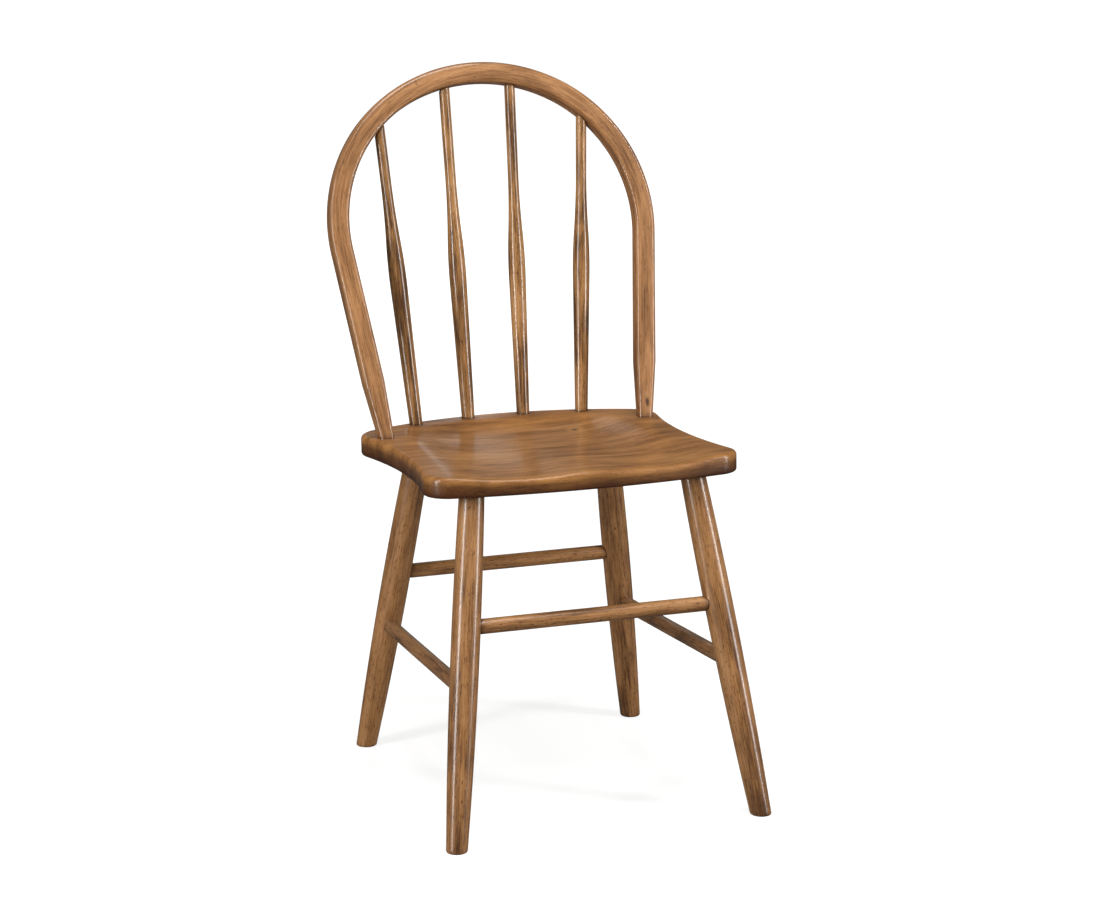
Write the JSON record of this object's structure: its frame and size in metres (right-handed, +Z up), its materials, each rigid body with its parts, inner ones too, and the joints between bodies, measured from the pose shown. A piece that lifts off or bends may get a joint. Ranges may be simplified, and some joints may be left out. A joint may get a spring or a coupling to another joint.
{
  "type": "hoop-back dining chair",
  "caption": "Hoop-back wooden dining chair: saddled seat, bent back hoop with bulbous spindles, splayed round legs joined by round stretchers.",
  "frame": {"origin": "on the floor, in the middle of the chair's overall box", "axes": "+X to the right as seen by someone looking at the chair's front, +Y from the seat's front towards the back, +Z up"},
  "size_m": [0.4556, 0.5568, 0.9128],
  "materials": {
    "seat_wood": "stained mid-brown close-grained wood under satin lacquer, grain from side to side",
    "hoop_wood": "steam-bent wood, stained mid-brown, satin lacquer, grain along the bend",
    "spindle_wood": "turned wood, stained mid-brown, satin lacquer, grain along the spindle",
    "leg_wood": "turned wood, stained mid-brown, satin lacquer, grain along the leg",
    "screw_steel": "zinc-plated steel wood screws"
  },
  "bodies": {
    "root": {"back_hoop": "hoop_wood", "hoop_screws": "screw_steel", "leg_front_left": "leg_wood", "leg_front_right": "leg_wood", "leg_rear_left": "leg_wood", "leg_rear_right": "leg_wood", "seat_board_front": "seat_wood", "seat_board_front_middle": "seat_wood", "seat_board_rear": "seat_wood", "seat_board_rear_middle": "seat_wood", "spindle_inner_left": "spindle_wood", "spindle_inner_right": "spindle_wood", "spindle_outer_left": "spindle_wood", "spindle_outer_right": "spindle_wood", "stretcher_front": "leg_wood", "stretcher_left": "leg_wood", "stretcher_rear": "leg_wood", "stretcher_right": "leg_wood"}
  },
  "joints": []
}
